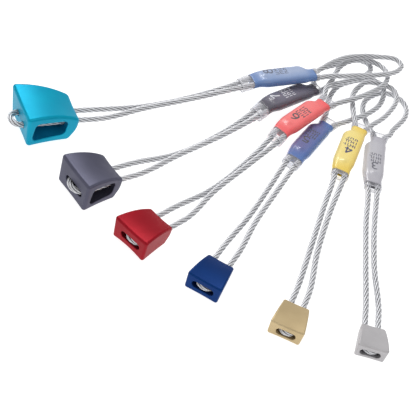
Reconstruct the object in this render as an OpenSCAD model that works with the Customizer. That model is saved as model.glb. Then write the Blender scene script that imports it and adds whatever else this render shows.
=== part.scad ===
// Set of six wired nuts, fanned out as they lie on a table.
// Every nut is a tapered metal wedge that slides on the two legs of one bent wire rope.
// The rope's ends and its middle pass side by side through a pressed ferrule, which leaves an
// open eye beyond it. A printed label and a clear shrunk-on sleeve cover the ferrule.
// Millimetres, +Z up. The legs run away from the nuts, toward +Y, and the eyes lie in a pile.

/* [Wire rope] */
// diameter of the wire rope
rope_d = 3.5; // [2:0.1:4.5]
// straight run of the legs outside the nut, which the nut can slide along
straight_run = 12; // [6:1:30]

/* [Ferrule] */
// length of the pressed ferrule
ferrule_len = 24; // [16:1:34]
// width of the ferrule across its three wires
ferrule_wide = 12.6; // [12.4:0.1:16]
// thickness of the ferrule
ferrule_thick = 5.3; // [4.8:0.1:7]
// distance between neighbouring wires in the ferrule
wire_gap = 3.6; // [3.55:0.05:5]

/* [Label and sleeve] */
// thickness of the printed label
label_thick = 0.25; // [0.15:0.05:0.5]
// thickness of the clear sleeve
sleeve_thick = 0.45; // [0.3:0.05:0.8]

/* [Nut size 8] */
// length of the size 8 nut along the wires
nut_len_8 = 34; // [15:0.1:45]
// width of the size 8 nut at the bight end
nut_wide_8 = 32.4; // [13:0.1:40]
// width of the size 8 nut at the end the legs leave
nut_narrow_8 = 22.5; // [11:0.1:34]
// height of the size 8 nut
nut_high_8 = 22; // [8:0.1:34]
// distance between the legs where they leave the size 8 nut
hole_gap_8 = 8; // [6.5:0.5:14]
// distance from the bight-end face in to the centre of the wire's bend
bight_in_8 = 1.5; // [0.5:0.1:10]
// height of the wire holes above the size 8 nut's underside
hole_z_8 = 10; // [4:0.1:17]
// distance between the two legs at the bight end of the size 8 nut
bight_gap_8 = 10.5; // [6.5:0.5:16]
// how far the size 8 nut's middle lies to the left of its wires
nut_aside_8 = 1.4; // [-3:0.1:3]
// how far the bight end leans outward, from its foot to its top
nut_lean_8 = 3.4; // [0:0.1:4]

/* [Nut size 7] */
// length of the size 7 nut along the wires
nut_len_7 = 27; // [15:0.1:45]
// width of the size 7 nut at the bight end
nut_wide_7 = 28.6; // [13:0.1:40]
// width of the size 7 nut at the end the legs leave
nut_narrow_7 = 21.3; // [11:0.1:34]
// height of the size 7 nut
nut_high_7 = 19.9; // [8:0.1:34]
// distance between the legs where they leave the size 7 nut
hole_gap_7 = 9; // [6.5:0.5:14]
// distance from the bight-end face in to the centre of the wire's bend
bight_in_7 = 5; // [0.5:0.1:10]
// height of the wire holes above the size 7 nut's underside
hole_z_7 = 9; // [4:0.1:17]
// distance between the two legs at the bight end of the size 7 nut
bight_gap_7 = 11.5; // [6.5:0.5:16]
// how far the size 7 nut's middle lies to the left of its wires
nut_aside_7 = 1.3; // [-3:0.1:3]
// how far the bight end leans outward, from its foot to its top
nut_lean_7 = 1; // [0:0.1:4]

/* [Nut size 6] */
// length of the size 6 nut along the wires
nut_len_6 = 26; // [15:0.1:45]
// width of the size 6 nut at the bight end
nut_wide_6 = 25; // [13:0.1:40]
// width of the size 6 nut at the end the legs leave
nut_narrow_6 = 18; // [11:0.1:34]
// height of the size 6 nut
nut_high_6 = 15.8; // [8:0.1:34]
// distance between the legs where they leave the size 6 nut
hole_gap_6 = 10; // [6.5:0.5:14]
// distance from the bight-end face in to the centre of the wire's bend
bight_in_6 = 7.5; // [0.5:0.1:10]
// height of the wire holes above the size 6 nut's underside
hole_z_6 = 7.9; // [4:0.1:17]
// distance between the two legs at the bight end of the size 6 nut
bight_gap_6 = 10; // [6.5:0.5:16]
// how far the size 6 nut's middle lies to the left of its wires
nut_aside_6 = 0.8; // [-3:0.1:3]
// how far the bight end leans outward, from its foot to its top
nut_lean_6 = 1.7; // [0:0.1:4]

/* [Nut size 5] */
// length of the size 5 nut along the wires
nut_len_5 = 23.4; // [15:0.1:45]
// width of the size 5 nut at the bight end
nut_wide_5 = 21; // [13:0.1:40]
// width of the size 5 nut at the end the legs leave
nut_narrow_5 = 16; // [11:0.1:34]
// height of the size 5 nut
nut_high_5 = 11.6; // [8:0.1:34]
// distance between the legs where they leave the size 5 nut
hole_gap_5 = 9; // [6.5:0.5:14]
// distance from the bight-end face in to the centre of the wire's bend
bight_in_5 = 6.4; // [0.5:0.1:10]
// height of the wire holes above the size 5 nut's underside
hole_z_5 = 5.5; // [4:0.1:17]
// distance between the two legs at the bight end of the size 5 nut
bight_gap_5 = 9; // [6.5:0.5:16]
// how far the size 5 nut's middle lies to the left of its wires
nut_aside_5 = 0; // [-3:0.1:3]
// how far the bight end leans outward, from its foot to its top
nut_lean_5 = 0.4; // [0:0.1:4]

/* [Nut size 4] */
// length of the size 4 nut along the wires
nut_len_4 = 22; // [15:0.1:45]
// width of the size 4 nut at the bight end
nut_wide_4 = 19.4; // [13:0.1:40]
// width of the size 4 nut at the end the legs leave
nut_narrow_4 = 15; // [11:0.1:34]
// height of the size 4 nut
nut_high_4 = 9.8; // [8:0.1:34]
// distance between the legs where they leave the size 4 nut
hole_gap_4 = 7; // [6.5:0.5:14]
// distance from the bight-end face in to the centre of the wire's bend
bight_in_4 = 5; // [0.5:0.1:10]
// height of the wire holes above the size 4 nut's underside
hole_z_4 = 4.2; // [4:0.1:17]
// distance between the two legs at the bight end of the size 4 nut
bight_gap_4 = 7; // [6.5:0.5:16]
// how far the size 4 nut's middle lies to the left of its wires
nut_aside_4 = 0.4; // [-3:0.1:3]
// how far the bight end leans outward, from its foot to its top
nut_lean_4 = 0; // [0:0.1:4]

/* [Nut size 3] */
// length of the size 3 nut along the wires
nut_len_3 = 18.8; // [15:0.1:45]
// width of the size 3 nut at the bight end
nut_wide_3 = 17.6; // [13:0.1:40]
// width of the size 3 nut at the end the legs leave
nut_narrow_3 = 13.8; // [11:0.1:34]
// height of the size 3 nut
nut_high_3 = 9.6; // [8:0.1:34]
// distance between the legs where they leave the size 3 nut
hole_gap_3 = 7.5; // [6.5:0.5:14]
// distance from the bight-end face in to the centre of the wire's bend
bight_in_3 = 6; // [0.5:0.1:10]
// height of the wire holes above the size 3 nut's underside
hole_z_3 = 4.2; // [4:0.1:17]
// distance between the two legs at the bight end of the size 3 nut
bight_gap_3 = 7.5; // [6.5:0.5:16]
// how far the size 3 nut's middle lies to the left of its wires
nut_aside_3 = -0.4; // [-3:0.1:3]
// how far the bight end leans outward, from its foot to its top
nut_lean_3 = 0.3; // [0:0.1:4]

/* [Hidden] */

$fn = 64;
rope_r = rope_d / 2;
rope_sides = 8;
shell_sides = 16;
cut = 0.1;
bend_step = 22;
nut_travel = 9;
hole_r = rope_r + 0.25;
slot_half = rope_r + 0.2;
ferrule_hole_r = rope_r + 0.02;
label_room = 0.08;
sleeve_gap = 0.02;
label_eye_end = 21;
label_leg_end = -23;
tail_end = -14.5;
tail_start = 13.5;

// The floor plan's middle, so that the origin is the centre of the footprint.
plan_mid = [-5.7, 52.4];

// Where each nut lies: the middle of its leg-side face, and its heading in degrees.
nut_at_8 = [-90.5, 22.5];
nut_at_7 = [-55.5, -12];
nut_at_6 = [-20.5, -33.5];
nut_at_5 = [17, -45];
nut_at_4 = [63, -54.5];
nut_at_3 = [105, -49.5];

// Where each ferrule's middle is.
ferrule_at_8 = [15, 121, 16.4];
ferrule_at_7 = [22.5, 112.5, 9.6];
ferrule_at_6 = [33.5, 94, 12.6];
ferrule_at_5 = [43, 83, 6];
ferrule_at_4 = [67, 84.5, 9];
ferrule_at_3 = [84.5, 90, 3.7];

// The eyes, as the wire runs from the right-hand side of the ferrule round to its middle.
eye_8 = [
  [43, 137.5], [50.5, 142], [59, 148], [68, 154], [74.5, 159], [79.5, 163.5], [83.5, 169.5],
  [84.5, 176], [81, 180], [75, 179], [69, 176], [62, 172.5], [55.5, 168], [49, 162.5],
  [44, 156], [39.5, 148.5], [35.5, 140.5]
];
eye_7 = [
  [44, 137], [50, 144.5], [56, 151.5], [62, 158.5], [65.5, 165], [67, 171], [65, 175.5],
  [61, 176.5], [56.5, 175], [52, 171.5], [48, 167], [44, 161.5], [40, 157], [36, 152],
  [33.5, 146.5], [33, 139]
];
eye_6 = [
  [52.5, 118.5], [62, 129.5], [70.5, 141.5], [76, 151.5], [78.5, 160], [77.5, 166.5],
  [74.5, 171.5], [67.5, 174], [60, 172.5], [54, 167.5], [49.5, 161.5], [46.5, 153],
  [44.9, 140], [42.8, 127.6]
];
eye_5 = [
  [58, 110], [65.5, 119.5], [74, 131.5], [79, 143.5], [80, 153], [79, 160.5], [76.5, 165],
  [72, 166.5], [67, 164.5], [61.5, 160.5], [56, 154.5], [51.5, 148.5], [49, 142.5],
  [47.5, 135], [47, 126], [48, 115]
];
eye_4 = [
  [77.5, 116], [82.5, 125.5], [86, 136], [88, 146], [87.5, 153], [84.5, 158.5], [79.5, 160],
  [73, 159], [66.5, 156], [63, 149], [61, 142], [60.5, 135], [62, 127.5], [64.5, 117.5]
];
eye_3 = [
  [90.5, 121], [91.5, 127.5], [94.5, 136], [97, 144], [97.5, 151], [96, 157.5], [92.5, 162],
  [87.5, 164], [82, 163.5], [77.5, 160.5], [74, 156], [71, 150.5], [69.5, 144.5], [70, 137],
  [73, 128.5], [77, 120.5]
];

// Slings, largest first. Each is [nut, nut place, ferrule place, sleeve ends, legs, eye]:
// nut is [length, wide end, narrow end, height, leg spacing, bight inset, hole height,
// bight spacing, offset to the left, lean of the bight end],
// nut place is [x and y, heading], ferrule place is [x, y and z, heading, tilt],
// sleeve ends is [mouth's distance from the ferrule's middle, its sideways bend,
// length beyond the label at the eye end, how far each wire spreads there,
// half the legs' spacing at the mouth],
// legs is [sideways spacing halfway, height of one over the other, sag, sideways bow],
// and eye is [height, route].
sling_8 = [
  [nut_len_8, nut_wide_8, nut_narrow_8, nut_high_8, hole_gap_8, bight_in_8, hole_z_8,
    bight_gap_8, nut_aside_8, nut_lean_8],
  [nut_at_8, 36], [ferrule_at_8, 38, 3], [32, -2.2, 2, 0.6, 2.1], [3.2, 1.8, 2.5, 0], [18, eye_8]
];
sling_7 = [
  [nut_len_7, nut_wide_7, nut_narrow_7, nut_high_7, hole_gap_7, bight_in_7, hole_z_7,
    bight_gap_7, nut_aside_7, nut_lean_7],
  [nut_at_7, 49.5], [ferrule_at_7, 55, 0.5], [32, -2.4, 2.5, 0.6, 2.3], [2.9, 2.3, 2.8, -1.5],
  [10, eye_7]
];
sling_6 = [
  [nut_len_6, nut_wide_6, nut_narrow_6, nut_high_6, hole_gap_6, bight_in_6, hole_z_6,
    bight_gap_6, nut_aside_6, nut_lean_6],
  [nut_at_6, 60.5], [ferrule_at_6, 64.5, 2.5], [31, -1.6, 5, 1.1, 2.5], [3, 2.2, 2.2, -0.6],
  [14, eye_6]
];
sling_5 = [
  [nut_len_5, nut_wide_5, nut_narrow_5, nut_high_5, hole_gap_5, bight_in_5, hole_z_5,
    bight_gap_5, nut_aside_5, nut_lean_5],
  [nut_at_5, 78], [ferrule_at_5, 75, 0], [29, 0, 5, 1.1, 2.93], [5, 0, 0, 0], [6, eye_5]
];
sling_4 = [
  [nut_len_4, nut_wide_4, nut_narrow_4, nut_high_4, hole_gap_4, bight_in_4, hole_z_4,
    bight_gap_4, nut_aside_4, nut_lean_4],
  [nut_at_4, 85.5], [ferrule_at_4, 86, 2], [26.5, 0, 3.5, 1.1, 2.93], [4.4, 0, 1, 0.9], [10, eye_4]
];
sling_3 = [
  [nut_len_3, nut_wide_3, nut_narrow_3, nut_high_3, hole_gap_3, bight_in_3, hole_z_3,
    bight_gap_3, nut_aside_3, nut_lean_3],
  [nut_at_3, 97], [ferrule_at_3, 95.5, 0], [26.5, 0, 4, 1.1, 2.93], [5.2, 0, 0, 1.4], [2, eye_3]
];

// Nut proportions, as shares of the nut's length and height.
top_peak = 0.78;
top_drop = 0.29;
rest_strip = 0.2;
arch_rise = 0.05;
lean_back = 0.14;
edge = 1.5;
scoop = 0.035;
flank_draft = 0.5;
window_long = 0.6;
window_high = 0.46;
window_mid = [-0.53, 0.49];
window_turn = 4;
web = 3;

function unit(v) = v / norm(v);
function mix(a, b, t) = a + (b - a) * t;
function left_of(turn) = [-sin(turn), cos(turn), 0];

// A point in a nut's own axes: u along the wires toward the ferrule, v to the left.
function nut_pt(s, u, v) =
  [s[1][0][0], s[1][0][1], s[0][6]]
  + u * [cos(s[1][1]), sin(s[1][1]), 0] + v * left_of(s[1][1]);

// A point in a ferrule's own axes: u toward the eye, v to the left.
function ferrule_pt(s, u, v) =
  s[2][0]
  + u * [cos(s[2][1]) * cos(s[2][2]), sin(s[2][1]) * cos(s[2][2]), sin(s[2][2])]
  + v * left_of(s[2][1]);

// How fast each leg spreads from the middle inside a nut, per mm.
function leg_spread(s) = (s[0][7] - s[0][4]) / 2 / (s[0][0] - s[0][5]);

// One leg, from the nut's straight run to the sleeve's mouth: side is 1 left, -1 right.
mouth_mid = -0.83;
function leg_a(s, side) = nut_pt(s, straight_run, side * s[0][4] / 2);
function leg_b(s, side) = ferrule_pt(s, -s[3][0], mouth_mid + s[3][1] + side * s[3][4]);
function leg_mid(s, side, t) =
  let (
    a = mix(leg_a(s, 1), leg_a(s, -1), 0.5),
    b = mix(leg_b(s, 1), leg_b(s, -1), 0.5),
    d = unit(b - a)
  )
  mix(a, b, t) + [-d[1], d[0], 0] * (side * s[4][0] / 2 + s[4][3])
  - [0, 0, s[4][2] + side * s[4][1] / 2];
function leg(s, side) = [
  leg_b(s, side),
  leg_mid(s, side, 0.7),
  leg_mid(s, side, 0.35),
  leg_a(s, side),
  nut_pt(s, straight_run - 3, side * s[0][4] / 2),
  nut_pt(s, 0, side * s[0][4] / 2),
  nut_pt(s, s[0][5] - s[0][0] + 5, side * (s[0][7] / 2 - 5 * leg_spread(s)))
];

// The bend round the bight end of the nut, from left to right.
function bight(s) = [
  for (q = [0:30:180])
    nut_pt(s, s[0][5] - s[0][0] - sin(q) * s[0][7] / 2, cos(q) * s[0][7] / 2)
];

// Where a wire of the eye is, some way beyond the label: side is 1 left, -1 right.
function eye_wire(s, beyond, side) =
  ferrule_pt(s, label_eye_end + beyond,
    (side - 1) * wire_gap / 2 + side * s[3][3] * (1 + beyond / 6));

// Height of the eye's point number i: halfway to the sleeve's at both ends of the eye.
function eye_z(s, i) =
  i > 0 && i < len(s[5][1]) - 1 ? s[5][0] : mix(s[5][0], eye_wire(s, s[3][2], 1)[2], 0.5);

function backward(p) = [for (i = [len(p) - 1:-1:0]) p[i]];

// The whole wire: tail, left leg, bight, right leg, right column, eye, middle column.
function route(s) = concat(
  [
    ferrule_pt(s, tail_start, wire_gap), ferrule_pt(s, -12, wire_gap),
    ferrule_pt(s, -15, 3.55), ferrule_pt(s, -20, 2.9 + s[3][1] * 0.2)
  ],
  leg(s, 1),
  bight(s),
  backward(leg(s, -1)),
  [
    ferrule_pt(s, -20, -3.65 + s[3][1] * 0.2), ferrule_pt(s, -12, -wire_gap),
    ferrule_pt(s, 14, -wire_gap - 0.05), eye_wire(s, 0, -1), eye_wire(s, s[3][2], -1)
  ],
  [for (i = [0:len(s[5][1]) - 1]) [s[5][1][i][0], s[5][1][i][1], eye_z(s, i)]],
  [
    eye_wire(s, s[3][2], 1), eye_wire(s, 0, 1), ferrule_pt(s, 14, 0.05),
    ferrule_pt(s, tail_end, 0)
  ]
);

// A smooth curve through the route's points, finer where it bends more.
function slope(p, i) =
  i == 0 ? unit(p[1] - p[0])
  : i == len(p) - 1 ? unit(p[i] - p[i - 1])
  : unit(unit(p[i] - p[i - 1]) * norm(p[i + 1] - p[i])
       + unit(p[i + 1] - p[i]) * norm(p[i] - p[i - 1]));
function angle(a, b) = acos(max(-1, min(1, a * b)));
function steps(p, i) =
  let (c = unit(p[i + 1] - p[i]))
  max(1, ceil((angle(slope(p, i), c) + angle(c, slope(p, i + 1))) / bend_step));
function bent(p, i, t) =
  let (d = norm(p[i + 1] - p[i]))
  p[i] * (2 * t^3 - 3 * t^2 + 1) + p[i + 1] * (3 * t^2 - 2 * t^3)
  + slope(p, i) * d * (t^3 - 2 * t^2 + t) + slope(p, i + 1) * d * (t^3 - t^2);
function curve(p) = concat(
  [for (i = [0:len(p) - 2]) for (k = [0:steps(p, i) - 1]) bent(p, i, k / steps(p, i))],
  [p[len(p) - 1]]
);

function heading_at(c, i) =
  unit(c[min(i + 1, len(c) - 1)] - c[max(i - 1, 0)]);
function ring(c, i) =
  let (t = heading_at(c, i), side = unit(cross(t, [0, 0, 1])), up = cross(side, t))
  [
    for (k = [0:rope_sides - 1])
      c[i] + rope_r * (cos(k * 360 / rope_sides) * side + sin(k * 360 / rope_sides) * up)
  ];

// Triangles between ring number a and the next one, for rings of n points from point base.
function band(base, a, n) = [
  for (k = [0:n - 1])
    let (p = base + a * n + k, q = base + a * n + (k + 1) % n)
    each [[p, p + n, q], [q, p + n, q + n]]
];

module rope(s) {
  c = curve(route(s));
  n = rope_sides;
  last = len(c) - 1;
  polyhedron(
    points = [for (i = [0:last]) each ring(c, i)],
    faces = concat(
      [for (i = [0:last - 1]) each band(0, i, n)],
      [[for (k = [0:n - 1]) k]],
      [[for (k = [n - 1:-1:0]) last * n + k]]
    )
  );
}

// The inside of the label at station u: [middle, half width, half height].
body_end = ferrule_len / 2 + 0.4;
function room(s, u) = [
  lookup(u, [[-32, -0.83], [-23, -0.7], [-18, 0], [body_end, 0], [17, -1.6], [21, -1.8]]),
  lookup(u, [
    [-32, 4.85], [-23, 5.1], [-18, 5.55], [-14.6, 6], [-body_end, ferrule_wide / 2 + label_room],
    [body_end, ferrule_wide / 2 + label_room], [13.9, 6], [17, 3.95 + s[3][3] / 2],
    [21, 3.75 + s[3][3]], [27, 3.75 + 2 * s[3][3]]
  ]),
  lookup(u, [
    [-32, 1.85], [-23, 1.95], [-18, 2.1], [-14.6, 2.55],
    [-body_end, ferrule_thick / 2 + label_room], [body_end, ferrule_thick / 2 + label_room],
    [13.9, 2.55], [17, 2.05], [21, 1.95]
  ])
];

// How far the sleeve's mouth bends sideways, which starts at the label's end.
function side_bend(s, u) = s[3][1] * max(0, label_leg_end - u) / (s[3][0] + label_leg_end)
  + s[3][1] * 0.2 * lookup(u, [[-23, 1], [-18, 0]]);

// A flat-sided ring at station u, grown outward by grow.
function shell_ring(s, u, grow) =
  let (
    m = room(s, u),
    chord = 1 / cos(180 / shell_sides),
    b = (m[2] + grow) * chord,
    a = m[1] + grow,
    up = cross(unit(ferrule_pt(s, 1, 0) - ferrule_pt(s, 0, 0)), left_of(s[2][1]))
  )
  [
    for (k = [0:shell_sides - 1])
      let (q = (k + 0.5) * 360 / shell_sides)
      ferrule_pt(s, u, m[0] + side_bend(s, u) + sign(cos(q)) * (a - m[2] - grow) + b * cos(q))
      + up * b * sin(q)
  ];

// A thin tube through stations [u, inner growth, outer growth].
module shell(s, stations) {
  n = shell_sides;
  last = len(stations) - 1;
  outer = (last + 1) * n;
  polyhedron(
    points = concat(
      [for (t = stations) each shell_ring(s, t[0], t[1])],
      [for (t = stations) each shell_ring(s, t[0], t[2])]
    ),
    faces = concat(
      [for (i = [0:last - 1]) for (f = band(0, i, n)) [f[0], f[1], f[2]]],
      [for (i = [0:last - 1]) for (f = band(outer, i, n)) [f[0], f[2], f[1]]],
      [for (k = [0:n - 1]) each let (p = k, q = (k + 1) % n)
        [[p, q, outer + p], [q, outer + q, outer + p]]],
      [for (k = [0:n - 1]) each let (p = last * n + k, q = last * n + (k + 1) % n)
        [[p, outer + p, q], [q, outer + p, outer + q]]]
    )
  );
}

label_stations = [label_leg_end, -18, -14.6, -body_end, body_end, 13.9, 17, label_eye_end];
module label(s) {
  shell(s, [for (u = label_stations) [u, 0, label_thick]]);
}

module sleeve(s) {
  g = label_thick + sleeve_gap;
  w = g + sleeve_thick;
  shell(s, concat(
    [[-s[3][0], 0, sleeve_thick], [label_leg_end - 1, g, w]],
    [for (u = label_stations) [u, g, w]],
    [[label_eye_end + s[3][2], 0, sleeve_thick]]
  ));
}

module ferrule_outline() {
  square([ferrule_wide - ferrule_thick, ferrule_thick], center = true);
  for (x = [-1, 1])
    translate([x * (ferrule_wide - ferrule_thick) / 2, 0])
      circle(d = ferrule_thick);
}

module ferrule(s) {
  translate(s[2][0])
    rotate([0, 0, s[2][1]])
      rotate([0, -s[2][2], 0])
        rotate([90, 0, 90])
          difference() {
            linear_extrude(ferrule_len, center = true) ferrule_outline();
            for (x = [-wire_gap, 0, wire_gap])
              translate([x, 0, 0])
                cylinder(r = ferrule_hole_r, h = ferrule_len + 2 * cut, center = true);
            cube([2 * wire_gap, rope_d * 0.6, ferrule_len + 2 * cut], center = true);
          }
}

// Side view of a nut, with its bight end at x = -l and its leg-side face at x = 0.
module nut_side(l, h, lean) {
  top_r = ((top_peak * l)^2 + (top_drop * h)^2) / (2 * top_drop * h);
  half_arch = (0.5 - rest_strip) * l;
  rise = arch_rise * h;
  arch_r = (half_arch^2 + rise^2) / (2 * rise);
  difference() {
    intersection() {
      polygon([
        [-l + lean + edge / 2, 0], [-l + lean, edge], [-l, h - edge], [-l + edge / 2, h],
        [0, h], [0, 0.36 * h], [-lean_back * l, 0]
      ]);
      translate([-top_peak * l, h - top_r]) circle(r = top_r, $fn = 180);
    }
    translate([-l / 2, rise - arch_r]) circle(r = arch_r, $fn = 180);
  }
}

module nut_plan(l, wide, narrow) {
  polygon([
    [-l, wide / 2 - edge], [-l + edge / 2, wide / 2], [0, narrow / 2], [0, -narrow / 2],
    [-l + edge / 2, -wide / 2], [-l, -wide / 2 + edge]
  ]);
}

module rounded(w, h, r) {
  square([w - 2 * r, h], center = true);
  square([w, h - 2 * r], center = true);
  for (x = [-1, 1], y = [-1, 1])
    translate([x * (w / 2 - r), y * (h / 2 - r)]) circle(r = r);
}

// Solid wedge with a shallow scoop along its top. Its flanks draw in toward the underside.
module wedge(l, wide, narrow, h, lean) {
  scoop_r = wide;
  difference() {
    intersection() {
      rotate([90, 0, 0]) linear_extrude(wide + 2, center = true) nut_side(l, h, lean);
      for_both_flanks(h) linear_extrude(2 * h) nut_plan(l, wide, narrow);
    }
    translate([-l - cut, 0, h + scoop_r - scoop * h])
      rotate([0, 90, 0]) cylinder(r = scoop_r, h = l + 2 * cut, $fn = 180);
  }
}

// The part common to a shape turned a little to each side about the top's middle line.
module for_both_flanks(h) {
  turn = atan(flank_draft / h);
  intersection() {
    translate([0, 0, h]) rotate([turn, 0, 0]) translate([0, 0, -1.5 * h]) children();
    translate([0, 0, h]) rotate([-turn, 0, 0]) translate([0, 0, -1.5 * h]) children();
  }
}

// The two wire holes, each with room for its leg to close in as the nut slides, and the
// slot that lets the wire bend round at the bight end.
module wire_way(s) {
  l = s[0][0];
  slack = leg_spread(s) * nut_travel;
  for (y = [-1, 1], close = slack > 0 ? [0, slack] : [0])
    translate([0, y * (s[0][4] / 2 - close), s[0][6]])
      rotate([0, -90, -y * atan(leg_spread(s))])
        translate([0, 0, -1]) cylinder(r = hole_r, h = l + 3);
  translate([-l - cut, -s[0][7] / 2, s[0][6] - slot_half])
    cube([s[0][5] + cut, s[0][7], 2 * slot_half]);
}

// A window in each side of a hollow nut, down to a web between the wires.
module side_window(l, wide, h) {
  for (y = [-1, 1])
    translate([window_mid[0] * l, y * (web / 2 + wide / 2), window_mid[1] * h])
      rotate([90, 0, 0])
        linear_extrude(wide, center = true)
          rotate(-window_turn) rounded(window_long * l, window_high * h, 2.5);
}

module nut(s, hollow) {
  l = s[0][0];
  translate([s[1][0][0], s[1][0][1], 0])
    rotate([0, 0, s[1][1]])
      difference() {
        translate([0, s[0][8], 0]) wedge(l, s[0][1], s[0][2], s[0][3], s[0][9]);
        wire_way(s);
        if (hollow) side_window(l, s[0][1], s[0][3]);
      }
}

module centred() {
  translate([-plan_mid[0], -plan_mid[1], 0]) children();
}

module head_8() {
  color([0.02, 0.62, 0.74]) centred() nut(sling_8, true);
}

module rope_8() {
  color([0.78, 0.78, 0.79]) centred() rope(sling_8);
}

module ferrule_8() {
  color([0.72, 0.73, 0.75]) centred() ferrule(sling_8);
}

module label_8() {
  color([0.42, 0.53, 0.8]) centred() label(sling_8);
}

module sleeve_8() {
  color([0.92, 0.93, 0.95, 0.35]) centred() sleeve(sling_8);
}

module head_7() {
  color([0.35, 0.36, 0.44]) centred() nut(sling_7, true);
}

module rope_7() {
  color([0.78, 0.78, 0.79]) centred() rope(sling_7);
}

module ferrule_7() {
  color([0.72, 0.73, 0.75]) centred() ferrule(sling_7);
}

module label_7() {
  color([0.22, 0.2, 0.24]) centred() label(sling_7);
}

module sleeve_7() {
  color([0.92, 0.93, 0.95, 0.35]) centred() sleeve(sling_7);
}

module head_6() {
  color([0.6, 0.12, 0.18]) centred() nut(sling_6, false);
}

module rope_6() {
  color([0.78, 0.78, 0.79]) centred() rope(sling_6);
}

module ferrule_6() {
  color([0.72, 0.73, 0.75]) centred() ferrule(sling_6);
}

module label_6() {
  color([0.95, 0.4, 0.41]) centred() label(sling_6);
}

module sleeve_6() {
  color([0.92, 0.93, 0.95, 0.35]) centred() sleeve(sling_6);
}

module head_5() {
  color([0.08, 0.2, 0.45]) centred() nut(sling_5, false);
}

module rope_5() {
  color([0.78, 0.78, 0.79]) centred() rope(sling_5);
}

module ferrule_5() {
  color([0.72, 0.73, 0.75]) centred() ferrule(sling_5);
}

module label_5() {
  color([0.32, 0.43, 0.72]) centred() label(sling_5);
}

module sleeve_5() {
  color([0.92, 0.93, 0.95, 0.35]) centred() sleeve(sling_5);
}

module head_4() {
  color([0.73, 0.65, 0.49]) centred() nut(sling_4, false);
}

module rope_4() {
  color([0.78, 0.78, 0.79]) centred() rope(sling_4);
}

module ferrule_4() {
  color([0.72, 0.73, 0.75]) centred() ferrule(sling_4);
}

module label_4() {
  color([0.94, 0.84, 0.43]) centred() label(sling_4);
}

module sleeve_4() {
  color([0.92, 0.93, 0.95, 0.35]) centred() sleeve(sling_4);
}

module head_3() {
  color([0.7, 0.7, 0.7]) centred() nut(sling_3, false);
}

module rope_3() {
  color([0.78, 0.78, 0.79]) centred() rope(sling_3);
}

module ferrule_3() {
  color([0.72, 0.73, 0.75]) centred() ferrule(sling_3);
}

module label_3() {
  color([0.73, 0.72, 0.75]) centred() label(sling_3);
}

module sleeve_3() {
  color([0.92, 0.93, 0.95, 0.35]) centred() sleeve(sling_3);
}

head_8();
rope_8();
ferrule_8();
label_8();
sleeve_8();
head_7();
rope_7();
ferrule_7();
label_7();
sleeve_7();
head_6();
rope_6();
ferrule_6();
label_6();
sleeve_6();
head_5();
rope_5();
ferrule_5();
label_5();
sleeve_5();
head_4();
rope_4();
ferrule_4();
label_4();
sleeve_4();
head_3();
rope_3();
ferrule_3();
label_3();
sleeve_3();
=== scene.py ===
"""Looks for a fan of six wired nuts: stranded wires, anodised nuts, printed labels, clear sleeves.

Each piece is worked out in millimetres in its sling's own axes and placed in metres.
"""

import math
from types import SimpleNamespace as Sling

import bpy
import numpy as np
from mathutils import Matrix, Vector


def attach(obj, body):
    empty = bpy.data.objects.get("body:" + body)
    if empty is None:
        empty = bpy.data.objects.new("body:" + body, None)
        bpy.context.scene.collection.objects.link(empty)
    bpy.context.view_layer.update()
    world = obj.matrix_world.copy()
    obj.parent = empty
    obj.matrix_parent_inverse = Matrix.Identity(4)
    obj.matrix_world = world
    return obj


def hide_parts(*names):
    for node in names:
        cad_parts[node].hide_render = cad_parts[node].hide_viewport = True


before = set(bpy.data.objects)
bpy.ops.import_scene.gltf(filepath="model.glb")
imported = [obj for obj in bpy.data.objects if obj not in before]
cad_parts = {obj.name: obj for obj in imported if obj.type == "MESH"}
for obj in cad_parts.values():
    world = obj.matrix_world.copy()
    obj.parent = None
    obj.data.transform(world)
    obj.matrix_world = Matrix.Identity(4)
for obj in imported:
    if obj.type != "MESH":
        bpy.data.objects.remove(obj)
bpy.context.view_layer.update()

MM = 0.001

# ---------------------------------------------------------------- camera
VIEW_DROP = math.radians(41.65)
VIEW_ROLL = math.radians(20.64)
VIEW_DISTANCE = 819.1 * MM
VIEW_TARGET = np.array([5.7, -52.4, 0]) * MM
LENS, SENSOR = 125.54, 36


def place_camera():
    data = bpy.data.cameras.new("camera")
    data.sensor_width, data.lens = SENSOR, LENS
    data.clip_start, data.clip_end = 0.02, 20
    camera = bpy.data.objects.new("camera", data)
    bpy.context.scene.collection.objects.link(camera)
    forward = np.array([0, math.cos(VIEW_DROP), -math.sin(VIEW_DROP)])
    right = np.array([1.0, 0, 0])
    up = np.cross(right, forward)
    across = math.cos(VIEW_ROLL) * right + math.sin(VIEW_ROLL) * up
    upward = -math.sin(VIEW_ROLL) * right + math.cos(VIEW_ROLL) * up
    matrix = Matrix.Identity(4)
    for row in range(3):
        matrix[row][0], matrix[row][1] = across[row], upward[row]
        matrix[row][2] = -forward[row]
        matrix[row][3] = VIEW_TARGET[row] - VIEW_DISTANCE * forward[row]
    camera.matrix_world = matrix
    bpy.context.scene.camera = camera


place_camera()

# ---------------------------------------------------------------- sizes, as in the CAD source
ROPE_D = 3.5
STRAIGHT_RUN = 12
WIRE_GAP = 3.6
MOUTH_MID = -0.83
FERRULE_WIDE = 12.6
FERRULE_THICK = 5.3
BODY_END = 12.4
LABEL_ROOM = 0.08
LABEL_THICK = 0.25
SLEEVE_GAP = 0.02
SLEEVE_THICK = 0.45
LABEL_LEG_END = -23
LABEL_EYE_END = 21
TAIL_START, TAIL_END = 13.5, -14.5
PLAN_MID = np.array([-5.7, 52.4, 0])

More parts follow.
